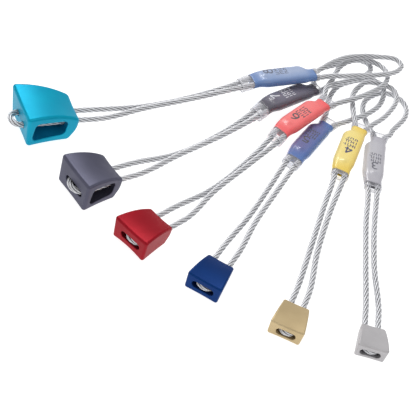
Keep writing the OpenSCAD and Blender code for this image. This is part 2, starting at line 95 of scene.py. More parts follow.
SLINGS = {
    8: Sling(
        length=34, wide=32.4, narrow=22.5, high=22, gap=8, bend_gap=10.5, inset=1.5, hole_z=10,
        aside=1.4, lean=3.4,
        nut_at=(-90.5, 22.5), nut_turn=36, ferrule_at=(15, 121, 16.4), turn=38, tilt=3,
        mouth=32, bend=-2.2, lip=2, splay=0.6, mouth_half=2.1, legs=(3.2, 1.8, 2.5, 0), eye_z=18,
        eye=[
            (43, 137.5), (50.5, 142), (59, 148), (68, 154), (74.5, 159), (79.5, 163.5),
            (83.5, 169.5), (84.5, 176), (81, 180), (75, 179), (69, 176), (62, 172.5),
            (55.5, 168), (49, 162.5), (44, 156), (39.5, 148.5), (35.5, 140.5),
        ],
    ),
    7: Sling(
        length=27, wide=28.6, narrow=21.3, high=19.9, gap=9, bend_gap=11.5, inset=5, hole_z=9,
        aside=1.3, lean=1,
        nut_at=(-55.5, -12), nut_turn=49.5, ferrule_at=(22.5, 112.5, 9.6), turn=55, tilt=0.5,
        mouth=32, bend=-2.4, lip=2.5, splay=0.6, mouth_half=2.3, legs=(2.9, 2.3, 2.8, -1.5),
        eye_z=10,
        eye=[
            (44, 137), (50, 144.5), (56, 151.5), (62, 158.5), (65.5, 165), (67, 171),
            (65, 175.5), (61, 176.5), (56.5, 175), (52, 171.5), (48, 167), (44, 161.5),
            (40, 157), (36, 152), (33.5, 146.5), (33, 139),
        ],
    ),
    6: Sling(
        length=26, wide=25, narrow=18, high=15.8, gap=10, bend_gap=10, inset=7.5, hole_z=7.9,
        aside=0.8, lean=1.7,
        nut_at=(-20.5, -33.5), nut_turn=60.5, ferrule_at=(33.5, 94, 12.6), turn=64.5, tilt=2.5,
        mouth=31, bend=-1.6, lip=5, splay=1.1, mouth_half=2.5, legs=(3, 2.2, 2.2, -0.6), eye_z=14,
        eye=[
            (52.5, 118.5), (62, 129.5), (70.5, 141.5), (76, 151.5), (78.5, 160), (77.5, 166.5),
            (74.5, 171.5), (67.5, 174), (60, 172.5), (54, 167.5), (49.5, 161.5), (46.5, 153),
            (44.9, 140), (42.8, 127.6),
        ],
    ),
    5: Sling(
        length=23.4, wide=21, narrow=16, high=11.6, gap=9, bend_gap=9, inset=6.4, hole_z=5.5,
        aside=0, lean=0.4,
        nut_at=(17, -45), nut_turn=78, ferrule_at=(43, 83, 6), turn=75, tilt=0,
        mouth=29, bend=0, lip=5, splay=1.1, mouth_half=2.93, legs=(5, 0, 0, 0), eye_z=6,
        eye=[
            (58, 110), (65.5, 119.5), (74, 131.5), (79, 143.5), (80, 153), (79, 160.5),
            (76.5, 165), (72, 166.5), (67, 164.5), (61.5, 160.5), (56, 154.5), (51.5, 148.5),
            (49, 142.5), (47.5, 135), (47, 126), (48, 115),
        ],
    ),
    4: Sling(
        length=22, wide=19.4, narrow=15, high=9.8, gap=7, bend_gap=7, inset=5, hole_z=4.2,
        aside=0.4, lean=0,
        nut_at=(63, -54.5), nut_turn=85.5, ferrule_at=(67, 84.5, 9), turn=86, tilt=2,
        mouth=26.5, bend=0, lip=3.5, splay=1.1, mouth_half=2.93, legs=(4.4, 0, 1, 0.9), eye_z=10,
        eye=[
            (77.5, 116), (82.5, 125.5), (86, 136), (88, 146), (87.5, 153), (84.5, 158.5),
            (79.5, 160), (73, 159), (66.5, 156), (63, 149), (61, 142), (60.5, 135),
            (62, 127.5), (64.5, 117.5),
        ],
    ),
    3: Sling(
        length=18.8, wide=17.6, narrow=13.8, high=9.6, gap=7.5, bend_gap=7.5, inset=6, hole_z=4.2,
        aside=-0.4, lean=0.3,
        nut_at=(105, -49.5), nut_turn=97, ferrule_at=(84.5, 90, 3.7), turn=95.5, tilt=0,
        mouth=26.5, bend=0, lip=4, splay=1.1, mouth_half=2.93, legs=(5.2, 0, 0, 1.4), eye_z=2,
        eye=[
            (90.5, 121), (91.5, 127.5), (94.5, 136), (97, 144), (97.5, 151), (96, 157.5),
            (92.5, 162), (87.5, 164), (82, 163.5), (77.5, 160.5), (74, 156), (71, 150.5),
            (69.5, 144.5), (70, 137), (73, 128.5), (77, 120.5),
        ],
    ),
}
HOLLOW = (8, 7)

# ---------------------------------------------------------------- places along a sling


def unit(v):
    return v / np.linalg.norm(v, axis=-1, keepdims=True)


def axes(turn, tilt=0):
    """Along the wires, to their left, and up, for a piece that heads that way."""
    turn, tilt = math.radians(turn), math.radians(tilt)
    along = np.array([
        math.cos(turn) * math.cos(tilt), math.sin(turn) * math.cos(tilt), math.sin(tilt)
    ])
    left = np.array([-math.sin(turn), math.cos(turn), 0])
    return along, left, np.cross(along, left)


def nut_pt(s, u, v):
    along, left, _ = axes(s.nut_turn)
    return np.array([*s.nut_at, s.hole_z]) + u * along + v * left


def ferrule_pt(s, u, v):
    along, left, _ = axes(s.turn, s.tilt)
    return np.array(s.ferrule_at, float) + u * along + v * left


def ferrule_space(s, u, v, w):
    """Arrays of points in a ferrule's own axes, in the row frame's metres."""
    along, left, up = axes(s.turn, s.tilt)
    at = np.array(s.ferrule_at) - PLAN_MID
    return (at + np.multiply.outer(u, along) + np.multiply.outer(v, left)
            + np.multiply.outer(w, up)) * MM


def eye_wire(s, beyond, side):
    v = (side - 1) * WIRE_GAP / 2 + side * s.splay * (1 + beyond / 6)
    return ferrule_pt(s, LABEL_EYE_END + beyond, v)


def leg_spread(s):
    """How fast each leg spreads from the middle inside a nut, per mm."""
    return (s.bend_gap - s.gap) / 2 / (s.length - s.inset)


def leg(s, side):
    """From the sleeve's mouth to the bend at the nut."""
    across, over, sag, bow = s.legs
    ends = []
    for k in (1, -1):
        ends.append((nut_pt(s, STRAIGHT_RUN, k * s.gap / 2),
                     ferrule_pt(s, -s.mouth, MOUTH_MID + s.bend + k * s.mouth_half)))
    near = (ends[0][0] + ends[1][0]) / 2
    far = (ends[0][1] + ends[1][1]) / 2
    run = unit(far - near)
    aside = np.array([-run[1], run[0], 0]) * (side * across / 2 + bow)
    aside[2] -= sag + side * over / 2
    v = side * s.gap / 2
    return [
        ends[0 if side > 0 else 1][1],
        near + (far - near) * 0.7 + aside,
        near + (far - near) * 0.35 + aside,
        nut_pt(s, STRAIGHT_RUN, v),
        nut_pt(s, STRAIGHT_RUN - 3, v),
        nut_pt(s, 0, v),
        nut_pt(s, s.inset - s.length + 5, side * (s.bend_gap / 2 - 5 * leg_spread(s))),
    ]


def bight(s):
    turns = np.radians(np.arange(0, 181, 30))
    radius = s.bend_gap / 2
    return [nut_pt(s, s.inset - s.length - math.sin(q) * radius, math.cos(q) * radius)
            for q in turns]


def eye_points(s):
    end_z = (eye_wire(s, s.lip, 1)[2] + s.eye_z) / 2
    last = len(s.eye) - 1
    return [np.array([x, y, end_z if i in (0, last) else s.eye_z])
            for i, (x, y) in enumerate(s.eye)]


def route(s):
    """The whole wire: tail, left leg, bight, right leg, right column, eye, middle column."""
    lean = s.bend * 0.2
    points = [ferrule_pt(s, TAIL_START, WIRE_GAP), ferrule_pt(s, -12, WIRE_GAP),
              ferrule_pt(s, -15, 3.55), ferrule_pt(s, -20, 2.9 + lean)]
    points += leg(s, 1) + bight(s) + leg(s, -1)[::-1]
    points += [ferrule_pt(s, -20, -3.65 + lean), ferrule_pt(s, -12, -WIRE_GAP),
               ferrule_pt(s, 14, -WIRE_GAP - 0.05), eye_wire(s, 0, -1), eye_wire(s, s.lip, -1)]
    points += eye_points(s)
    points += [eye_wire(s, s.lip, 1), eye_wire(s, 0, 1), ferrule_pt(s, 14, 0.05),
               ferrule_pt(s, TAIL_END, 0)]
    return (np.array(points) - PLAN_MID) * MM


def smooth_line(points, step):
    """The CAD's own curve through the route, at even steps."""
    chord = np.diff(points, axis=0)
    size = np.linalg.norm(chord, axis=1)
    way = chord / size[:, None]
    slope = np.vstack([
        way[:1], unit(way[:-1] * size[1:, None] + way[1:] * size[:-1, None]), way[-1:]
    ])
    t = np.linspace(0, 1, 24, endpoint=False)[:, None]
    pieces = [
        points[i] * (2 * t**3 - 3 * t**2 + 1) + points[i + 1] * (3 * t**2 - 2 * t**3)
        + slope[i] * size[i] * (t**3 - 2 * t**2 + t) + slope[i + 1] * size[i] * (t**3 - t**2)
        for i in range(len(points) - 1)
    ]
    line = np.vstack(pieces + [points[-1:]])
    run = np.concatenate([[0], np.cumsum(np.linalg.norm(np.diff(line, axis=0), axis=1))])
    even = np.linspace(0, run[-1], int(run[-1] / step) + 1)
    return np.column_stack([np.interp(even, run, line[:, k]) for k in range(3)]), run[-1]


# ---------------------------------------------------------------- meshes


def build(name, verts, quads, caps=(), **values):
    """A mesh object from quads and end polygons, with one float attribute per keyword."""
    quads = np.asarray(quads, np.int32)
    loops = np.concatenate([quads.ravel()] + [np.asarray(c, np.int32) for c in caps])
    sizes = np.concatenate([np.full(len(quads), 4), [len(c) for c in caps]]).astype(np.int32)
    starts = np.concatenate([[0], np.cumsum(sizes)[:-1]]).astype(np.int32)
    mesh = bpy.data.meshes.new(name)
    mesh.vertices.add(len(verts))
    mesh.vertices.foreach_set("co", np.asarray(verts, np.float32).ravel())
    mesh.loops.add(len(loops))
    mesh.loops.foreach_set("vertex_index", loops)
    mesh.polygons.add(len(sizes))
    mesh.polygons.foreach_set("loop_start", starts)
    mesh.update(calc_edges=True)
    mesh.polygons.foreach_set("use_smooth", np.ones(len(sizes), bool))
    for key, data in values.items():
        attribute = mesh.attributes.new(key, "FLOAT", "POINT")
        attribute.data.foreach_set("value", np.asarray(data, np.float32).ravel())
    mesh.validate()
    obj = bpy.data.objects.new(name, mesh)
    bpy.context.scene.collection.objects.link(obj)
    return obj


def tube_quads(rings, sides, base=0, flip=False):
    """Quads between neighbouring rings of a tube whose vertices are stored ring by ring."""
    ring, side = np.meshgrid(np.arange(rings - 1), np.arange(sides), indexing="ij")
    a = base + ring * sides + side
    b = base + ring * sides + (side + 1) % sides
    quads = np.stack([a, b, b + sides, a + sides], -1).reshape(-1, 4)
    return quads[:, ::-1] if flip else quads


# ---------------------------------------------------------------- wire rope
RING_STEP = 0.7 * MM
STRANDS = 6
STRAND_R = 0.56 * MM
HELIX_R = 1.19 * MM
ROPE_LAY = 25 * MM
WIRE_LAY = 10.3 * MM
SECTION_SIDES = 12
SECTION_DIP = 0.12


def travelling_axes(line):
    """Two axes across the line that turn with it and don't spin about it."""
    ahead = unit(np.gradient(line, axis=0))
    across = np.empty_like(line)
    across[0] = unit(np.cross(ahead[0], [0.0, 0.0, 1.0]))
    for i in range(1, len(line)):
        v = across[i - 1] - ahead[i] * (across[i - 1] @ ahead[i])
        across[i] = v / np.linalg.norm(v)
    return across, np.cross(ahead, across)


def strand(line, across, other, run, number):
    """One strand's ring vertices; number 0 is the straight core."""
    reach = HELIX_R if number else 0
    q = (2 * math.pi * (run / ROPE_LAY + number / STRANDS))[:, None]
    out = np.cos(q) * across + np.sin(q) * other
    centre = line + reach * out
    ahead = unit(np.gradient(centre, axis=0))
    out = unit(out - ahead * np.sum(out * ahead, axis=1, keepdims=True))
    over = np.cross(ahead, out)
    side = np.arange(SECTION_SIDES)
    turn = 2 * math.pi * (side[None, :] / SECTION_SIDES - run[:, None] / WIRE_LAY)
    radius = STRAND_R * np.where(side % 2, 1 - SECTION_DIP, 1)
    return (centre[:, None, :] + (radius * np.cos(turn))[..., None] * out[:, None, :]
            + (radius * np.sin(turn))[..., None] * over[:, None, :])


def make_rope(size, s):
    points = route(s)
    line, length = smooth_line(points, RING_STEP)
    across, other = travelling_axes(line)
    run = np.linspace(0, length, len(line))
    verts, quads, caps, proud = [], [], [], []
    rings, per_strand = len(line), len(line) * SECTION_SIDES
    for number in range(STRANDS + 1):
        ring = strand(line, across, other, run, number)
        base = number * per_strand
        verts.append(ring.reshape(-1, 3))
        # proud: how far out from the rope's middle, which the wire material uses to paint shade
        # between the strands.
        proud.append((np.linalg.norm(ring - line[:, None], axis=2) / (ROPE_D * MM / 2)).ravel())
        quads.append(tube_quads(rings, SECTION_SIDES, base))
        first = base + np.arange(SECTION_SIDES)
        caps += [first[::-1], first + per_strand - SECTION_SIDES]
    rope = build(f"wire_rope_{size}", np.vstack(verts), np.vstack(quads), caps,
                 proud=np.concatenate(proud))
    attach(rope, f"sling_{size}")
    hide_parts(f"rope_{size}")
    return rope


ropes = [make_rope(size, s) for size, s in SLINGS.items()]

# ---------------------------------------------------------------- nuts
TOP_PEAK, TOP_DROP = 0.78, 0.29
ARCH_RISE = 0.05
LEAN_BACK, LEAN_HIGH = 0.14, 0.36
SCOOP = 0.035
FLANK_DRAFT = 0.5
WEB = 3
HOLE_R = ROPE_D / 2 + 0.25
WINDOW_LONG, WINDOW_HIGH = 0.6, 0.5
WINDOW_MID_U, WINDOW_MID_Z = -0.53, 0.5
WINDOW_TAPER, WINDOW_CORNER = 0.25, 0.14
WINDOW_TURN = math.radians(4)
NUT_TRAVEL = 9
CELL = {8: 0.3, 7: 0.28, 6: 0.25, 5: 0.22, 4: 0.2, 3: 0.2}
UNDER_SCOOP = {8: 0.5, 7: 0.5, 6: 1.5, 5: 0.3, 4: 0.3, 3: 0.3}
SLOT_WAIST = {3: 0.92}
EDGE_BLEND = 0.5


def faces_of_nut(size, s, u, v, z):
    """Signed distances to the nut's upright faces, and to its top and underside."""
    length, high = s.length, s.high
    v = v - s.aside
    half = s.narrow / 2 - (s.wide - s.narrow) / 2 * u / length
    taper = math.atan((s.wide - s.narrow) / 2 / length)
    draft = math.atan(FLANK_DRAFT / high)
    flank = np.abs(v) * math.cos(draft) + (high - z) * math.sin(draft) - half
    dish = np.clip(1 - (v / half) ** 2, 0, 1)
    top_r = ((TOP_PEAK * length) ** 2 + (TOP_DROP * high) ** 2) / (2 * TOP_DROP * high)
    top = np.hypot(u + TOP_PEAK * length, z - high + top_r) - top_r + SCOOP * high * dish
    along = 1 - (2 * u / length + 1) ** 2
    rise = ARCH_RISE * high * np.clip(along, 0, 1) + UNDER_SCOOP[size] * dish
    lean = np.array([LEAN_HIGH * high, -LEAN_BACK * length])
    lean /= np.linalg.norm(lean)
    bight_face = -((u + length - s.lean) * high + z * s.lean) / math.hypot(high, s.lean)
    leg_foot = u * lean[0] + (z - LEAN_HIGH * high) * lean[1]
    return np.stack([flank * math.cos(taper), bight_face, u, leg_foot]), np.stack([top, rise - z])


def rounded_solid(distances, radius):
    outside = np.sqrt(np.sum(np.maximum(distances + radius, 0) ** 2, axis=0))
    return np.minimum(distances.max(0), -radius) + outside


def window_gap(s, u, z):
    """Distance to a side window's outline: a rounded box, turned, and less tall by the legs."""
    long, high, corner = WINDOW_LONG * s.length, WINDOW_HIGH * s.high, WINDOW_CORNER * s.high
    u, z = u - WINDOW_MID_U * s.length, z - WINDOW_MID_Z * s.high
    u, z = (u * math.cos(WINDOW_TURN) - z * math.sin(WINDOW_TURN),
            u * math.sin(WINDOW_TURN) + z * math.cos(WINDOW_TURN))
    z = np.where(z < 0, z * (1 + WINDOW_TAPER * 2 * u / long), z)
    u = np.abs(u) - long / 2 + corner
    z = np.abs(z) - high / 2 + corner
    return (np.hypot(np.maximum(u, 0), np.maximum(z, 0))
            + np.minimum(np.maximum(u, z), 0) - corner)


def nut_voids(size, s, u, v, z):
    """Distance to the wire holes, the slot for the wire's bend, and the side windows."""
    w = z - s.hole_z
    outer = s.gap / 2 - leg_spread(s) * np.minimum(u, 0)
    inner = s.gap / 2 - leg_spread(s) * np.minimum(u + NUT_TRAVEL, 0)
    aside = np.maximum(np.maximum(np.abs(v) - outer, inner - np.abs(v)), 0)
    holes = np.hypot(aside, w) - HOLE_R
    slot = np.hypot(np.maximum(np.abs(v) - s.bend_gap / 2, 0), w) - HOLE_R * SLOT_WAIST.get(size, 1)
    void = np.minimum(holes, np.maximum(slot, u + s.length - s.inset))
    if size in HOLLOW:
        void = np.minimum(void, np.maximum(window_gap(s, u, z), WEB / 2 - np.abs(v)))
    return void


def nut_solid(size, s, u, v, z):
    """Distance to the nut without its voids, and how near each point is to a top or foot edge."""
    uprights, caps = faces_of_nut(size, s, u, v, z)
    body = rounded_solid(uprights, 0.5 + 0.075 * s.high)
    radius = 0.1 + 0.08 * s.high
    solid = rounded_solid(np.concatenate([body[None], caps]), radius)
    return solid, np.clip(1 + np.minimum(body, caps.max(0)) / radius, 0, 1)


def soft_max(a, b, k):
    near = np.maximum(k - np.abs(a - b), 0) / k
    return np.maximum(a, b) + near**2 * k / 4


def surface_net(field, low, cell):
    """Vertices and quads of a field's zero surface: one vertex in each cell that it crosses."""
    cells = np.array(field.shape) - 1
    total, count = np.zeros((*cells, 3)), np.zeros(cells)
    found = []
    for a in range(3):
        b, c = (a + 1) % 3, (a + 2) % 3
        grid = np.moveaxis(field, (a, b, c), (0, 1, 2))
        here, there = grid[:-1], grid[1:]
        at = np.nonzero((here < 0) != (there < 0))
        before, after = here[at], there[at]
        place = np.zeros((len(before), 3))
        place[:, a] = at[0] + before / (before - after)
        place[:, b], place[:, c] = at[1], at[2]
        corners = []
        for db, dc in ((0, 0), (1, 0), (1, 1), (0, 1)):
            index = np.zeros((len(before), 3), int)
            index[:, a], index[:, b], index[:, c] = at[0], at[1] - db, at[2] - dc
            key = tuple(index.T)
            np.add.at(total, key, place)
            np.add.at(count, key, 1)
            corners.append(np.ravel_multi_index(key, cells))
        quad = np.stack(corners, 1)
        found.append(np.where((before < 0)[:, None], quad, quad[:, ::-1]))
    used = np.flatnonzero(count.ravel())
    number = np.full(count.size, -1)
    number[used] = np.arange(len(used))
    verts = total.reshape(-1, 3)[used] / count.ravel()[used][:, None]
    return low + verts * cell, number[np.vstack(found)]


def make_nut(size, s):
    cell, margin = CELL[size], 2 * CELL[size]
    low = np.array([-s.length, s.aside - s.wide / 2, 0]) - margin
    high = np.array([0, s.aside + s.wide / 2, s.high]) + margin
    ticks = [np.arange(low[k], high[k] + cell, cell) for k in range(3)]
    u, v, z = np.meshgrid(*ticks, indexing="ij")
    solid, _ = nut_solid(size, s, u, v, z)
    field = soft_max(solid, -nut_voids(size, s, u, v, z), EDGE_BLEND)
    points, quads = surface_net(field, low, cell)
    # edge: nearness to a top or foot edge, which the nut material paints paler as wear and painted
    # highlight.
    outside, edge = nut_solid(size, s, *points.T)
    # inner marks the walls of the holes, slot and windows, which the nut material darkens as
    # painted shade.
    inner = (-nut_voids(size, s, *points.T) > outside + 0.2).astype(float)
    along, left, up = axes(s.nut_turn)
    origin = np.array([*s.nut_at, 0]) - PLAN_MID
    world = origin + points[:, :1] * along + points[:, 1:2] * left + points[:, 2:] * up
    nut = build(f"nut_{size}", world * MM, quads, edge=edge, inner=inner)
    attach(nut, f"nut_{size}")
    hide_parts(f"head_{size}")
    return nut


nuts = {size: make_nut(size, s) for size, s in SLINGS.items()}

# ---------------------------------------------------------------- labels and sleeves
LOFT_STEP = 0.8
SOFTEN = 0.9
ARC_POINTS, FLAT_POINTS = 14, 14
CROWN = 0.3
STOP_BUMP, STOP_AT = 0.75, -14.3


def room(s, u):
    """The inside of the label at u: its middle, half width and half height."""
    taps = np.stack([u - SOFTEN, u, u + SOFTEN])
    body, deep = FERRULE_WIDE / 2 + LABEL_ROOM, FERRULE_THICK / 2 + LABEL_ROOM
    middle = np.interp(taps, [-32, -23, -18, BODY_END, 17, 21], [-0.83, -0.7, 0, 0, -1.6, -1.8])
    middle = middle + s.bend * 0.2 * np.interp(taps, [-23, -18], [1, 0])
    middle = middle + s.bend * np.maximum(0, LABEL_LEG_END - taps) / (s.mouth + LABEL_LEG_END)
    wide = np.interp(
        taps, [-32, -23, -18, -14.6, -BODY_END, BODY_END, 13.9, 17, 21, 27],
        [4.85, 5.1, 5.55, 6, body, body, 6, 3.95 + s.splay / 2, 3.75 + s.splay, 3.75 + 2 * s.splay]
    )
    tall = np.interp(
        taps, [-32, -23, -18, -14.6, -BODY_END, BODY_END, 13.9, 17, 21],
        [1.85, 1.95, 2.1, 2.55, deep, deep, 2.55, 2.05, 1.95]
    )
    return middle.mean(0), wide.mean(0), tall.mean(0)


def crown(u, v, wide):
    """How much the top and underside bulge, with a bump over the middle wire's cut end."""
    dome = CROWN * np.clip(1 - (v / wide) ** 2, 0, 1)
    bump = STOP_BUMP * np.exp(-((u - STOP_AT) / 1.5) ** 2 - (v / 1.9) ** 2)
    return dome, bump


def outline(half_wide, half_tall):
    """A flat-sided ring: right arc, top, left arc, underside."""
    q = np.linspace(-math.pi / 2, math.pi / 2, ARC_POINTS)
    flat = np.linspace(1, -1, FLAT_POINTS + 2)[1:-1]
    straight = half_wide - half_tall
    v = np.concatenate([straight + half_tall * np.cos(q), straight * flat,
                        -straight - half_tall * np.cos(q), -straight * flat])
    w = np.concatenate([half_tall * np.sin(q), np.full(FLAT_POINTS, half_tall),
                        -half_tall * np.sin(q), np.full(FLAT_POINTS, -half_tall)])
    return v, w


def shell_ring(s, u, grow):
    middle, wide, tall = (x[0] for x in room(s, np.array([u])))
    v, w = outline(wide + grow, tall + grow)
    dome, bump = crown(u, v, wide + grow)
    w = w + np.sign(w) * dome + np.where(w > 0, bump, 0)
    return middle + v, w


def shell(name, s, stations):
    """A thin tube. Each station is [u, inner growth, outer growth]."""
    sides = 2 * (ARC_POINTS + FLAT_POINTS)
    rings = len(stations)
    rim = np.zeros((2, rings, sides))
    rim[:, [0, -1]] = 1
    verts, height, along, left = [], [], [], []
    for which in (2, 1):
        for station in stations:
            v, w = shell_ring(s, station[0], station[which])
            verts.append(ferrule_space(s, np.full(sides, station[0]), v, w))
            height.append(w)
            along.append(np.full(sides, station[0]))
            left.append(v)
    outer = tube_quads(rings, sides)
    inner = tube_quads(rings, sides, rings * sides, flip=True)
    k = np.arange(sides)
    near, near_in = k, k + rings * sides
    far, far_in = k + (rings - 1) * sides, k + (2 * rings - 1) * sides
    following = (k + 1) % sides
    near_end = np.stack([near, near_in, near_in[following], near[following]], 1)
    far_end = np.stack([far, far[following], far_in[following], far_in], 1)
    return build(name, np.vstack(verts), np.vstack([outer, inner, near_end, far_end]),
                 height=np.concatenate(height), along=np.concatenate(along),
                 left=np.concatenate(left), rim=rim)


def stations_between(low, high, step=LOFT_STEP):
    return np.linspace(low, high, int((high - low) / step) + 1)


def make_label(size, s):
    rows = [(u, 0, LABEL_THICK) for u in stations_between(LABEL_LEG_END, LABEL_EYE_END)]
    label = shell(f"printed_label_{size}", s, rows)
    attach(label, f"sling_{size}")
    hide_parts(f"label_{size}")
    return label


def make_sleeve(size, s):
    low, high = -s.mouth, LABEL_EYE_END + s.lip
    shoulders = [low, LABEL_LEG_END - 1, LABEL_EYE_END + 0.3, high]
    rows = []
    for u in stations_between(low, high):
        lift = (LABEL_THICK + SLEEVE_GAP) * np.interp(u, shoulders, [0, 1, 1, 0])
        rows.append((u, lift, SLEEVE_THICK + lift))
    sleeve = shell(f"clear_sleeve_{size}", s, rows)
    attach(sleeve, f"sling_{size}")
    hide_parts(f"sleeve_{size}")
    return sleeve


labels = {size: make_label(size, s) for size, s in SLINGS.items()}
sleeves = [make_sleeve(size, s) for size, s in SLINGS.items()]

# ---------------------------------------------------------------- printing on the labels
DIGIT_HIGH = 6.4
PEN = 1.05
PRINT_LIFT, PRINT_THICK = 0.003, 0.012
DIGIT_WIDE = 7.4
DIGIT_AT = {
    8: (-10.5, 3), 7: (-11.3, 1.8), 6: (-7, 1), 5: (-4.3, 1.1), 4: (-4.5, 0.2), 3: (-8.5, 0),
}
MARKS_AT = {8: (-2.5, 2.6), 7: (-2, 1), 6: (0.5, 0.4), 5: (3, 0.6), 4: (3, 0.3), 3: (-1.5, 0)}
MARK_PEN = 0.5


def arc(x, y, rx, ry, start, end, steps=14):
    q = np.radians(np.linspace(start, end, steps))
    return np.column_stack([x + rx * np.cos(q), y + ry * np.sin(q)])


def straight(*corners):
    """Points along the straight runs from corner to corner."""
    corners = np.array(corners, float)
    rows = [a + (b - a) * t for a, b in zip(corners[:-1], corners[1:])
            for t in np.linspace(0, 1, 8, endpoint=False)]
    return np.vstack([rows, corners[-1:]])


# Pen strokes of each digit in a box 1 high, centred on the origin.
DIGITS = {
    8: [arc(0, 0.24, 0.2, 0.2, 0, 360, 25), arc(0, -0.22, 0.26, 0.24, 0, 360, 25)],
    7: [straight((-0.27, 0.43), (0.28, 0.43)), straight((0.26, 0.4), (0, 0), (-0.12, -0.46))],
    6: [arc(0, -0.2, 0.26, 0.25, 0, 360, 25), arc(0.2, -0.17, 0.46, 0.62, 178, 100, 12)],
    5: [straight((0.24, 0.43), (-0.18, 0.43), (-0.23, 0.03)),
        arc(-0.01, -0.16, 0.27, 0.27, 140, -140, 18)],
    4: [straight((0.12, -0.46), (0.12, 0.44), (-0.3, -0.2), (0.3, -0.2))],
    3: [arc(-0.02, 0.22, 0.22, 0.22, 140, -90, 14), arc(-0.02, -0.22, 0.26, 0.24, 90, -140, 16)],
}


def label_top(s, u, v):
    """Height of the label's top over the ferrule's axis plane, with v from the axis."""
    middle, wide, tall = room(s, u)
    wide, tall, v = wide + LABEL_THICK, tall + LABEL_THICK, v - middle
    beyond = np.clip(np.abs(v) - (wide - tall), 0, tall * 0.999)
    dome, bump = crown(u, v, wide)
    return np.sqrt(tall**2 - beyond**2) + dome + bump


def ribbon(s, path, width, lift):
    """One closed pen stroke along [u, v] points: its vertices and quads."""
    ahead = unit(np.gradient(path, axis=0))
    aside = np.column_stack([-ahead[:, 1], ahead[:, 0]]) * width / 2
    verts = []
    for up in (lift + PRINT_THICK, lift):
        for t in (-1, 0, 1) if up > lift else (1, 0, -1):
            u, v = (path + aside * t).T
            verts.append(ferrule_space(s, u, v, label_top(s, u, v) + up))
    verts = np.stack(verts, 1)
    return verts.reshape(-1, 3), tube_quads(len(path), 6), len(path)


def digit_paths(size, at):
    u, v = at
    return [np.column_stack([u - stroke[:, 1] * DIGIT_HIGH, v + stroke[:, 0] * DIGIT_WIDE])
            for stroke in DIGITS[size]]


def mark_paths(size, at):
    """Three rows of upright strokes, some joined by a crossbar, which stand for small print."""
    draw = np.random.default_rng(40 + size)
    paths = []
    for row, high in ((-2.6, 2.5), (0.7, 2.5), (3.8, 2)):
        v = at[1] - 3.2
        while v < at[1] + 3:
            top, foot = at[0] + row - high / 2, at[0] + row + high / 2
            paths.append(straight((top, v), (foot, v)))
            step = draw.uniform(1.2, 1.7)
            if draw.random() < 0.6:
                across = draw.choice([top + 0.2, (top + foot) / 2, foot - 0.2])
                paths.append(straight((across, v), (across, v + step * 0.8)))
            v += step
    return paths


def make_print(size, s):
    strokes = [(p, PEN) for p in digit_paths(size, DIGIT_AT[size])]
    strokes += [(p, MARK_PEN) for p in mark_paths(size, MARKS_AT[size])]
    verts, quads, caps, base = [], [], [], 0
    for number, (path, width) in enumerate(strokes):
        lift = PRINT_LIFT + 0.0005 * (number % 3)
        points, faces, rings = ribbon(s, path, width, lift)
        verts.append(points)
        quads.append(faces[:, ::-1] + base)
        caps += [base + np.arange(6), base + (rings - 1) * 6 + np.arange(6)[::-1]]
        base += len(points)
    ink = build(f"print_{size}", np.vstack(verts), np.vstack(quads), caps)
    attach(ink, f"sling_{size}")
    return ink


prints = {size: make_print(size, s) for size, s in SLINGS.items()}

# ---------------------------------------------------------------- materials


def srgb(r, g, b):
    """Linear colour from screen values of 0 to 255."""
    c = np.array([r, g, b]) / 255
    return tuple(np.where(c <= 0.04045, c / 12.92, ((c + 0.055) / 1.055) ** 2.4)) + (1,)


class Paint:
    """A material's node tree, with short names for the nodes used here."""

    def __init__(self, name):
        self.material = bpy.data.materials.new(name)
        self.material.use_nodes = True
        self.tree = self.material.node_tree
        self.tree.nodes.clear()
        self.where = self.add("ShaderNodeTexCoord").outputs["Object"]

    def add(self, kind, sockets=None, **settings):
        node = self.tree.nodes.new(kind)
        for key, value in settings.items():
            setattr(node, key, value)
        for key, value in (sockets or {}).items():
            if isinstance(value, bpy.types.NodeSocket):
                self.tree.links.new(value, node.inputs[key])
            else:
                node.inputs[key].default_value = value
        return node

    def noise(self, scale, detail=3, rough=0.55):
        made = self.add("ShaderNodeTexNoise", {
            "Vector": self.where, "Scale": scale, "Detail": detail, "Roughness": rough})
        return made.outputs["Fac"]

    def value(self, name):
        return self.add("ShaderNodeAttribute", attribute_name=name).outputs["Fac"]

    def span(self, value, low, high, to_low=0.0, to_high=1.0):
        made = self.add("ShaderNodeMapRange", {
            "Value": value, "From Min": low, "From Max": high, "To Min": to_low, "To Max": to_high})
        return made.outputs["Result"]

    def math(self, how, a, b):
        return self.add("ShaderNodeMath", {0: a, 1: b}, operation=how).outputs[0]

    def mix(self, factor, a, b, how="MIX"):
        made = self.add("ShaderNodeMix", {0: factor, 6: a, 7: b}, data_type="RGBA", blend_type=how)
        return made.outputs[2]

    def bump(self, height, strength, distance):
        made = self.add("ShaderNodeBump", {
            "Height": height, "Strength": strength, "Distance": distance})
        return made.outputs["Normal"]

    def finish(self, sockets):
        shader = self.add("ShaderNodeBsdfPrincipled", sockets)
        self.add("ShaderNodeOutputMaterial", {"Surface": shader.outputs[0]})
        return self.material


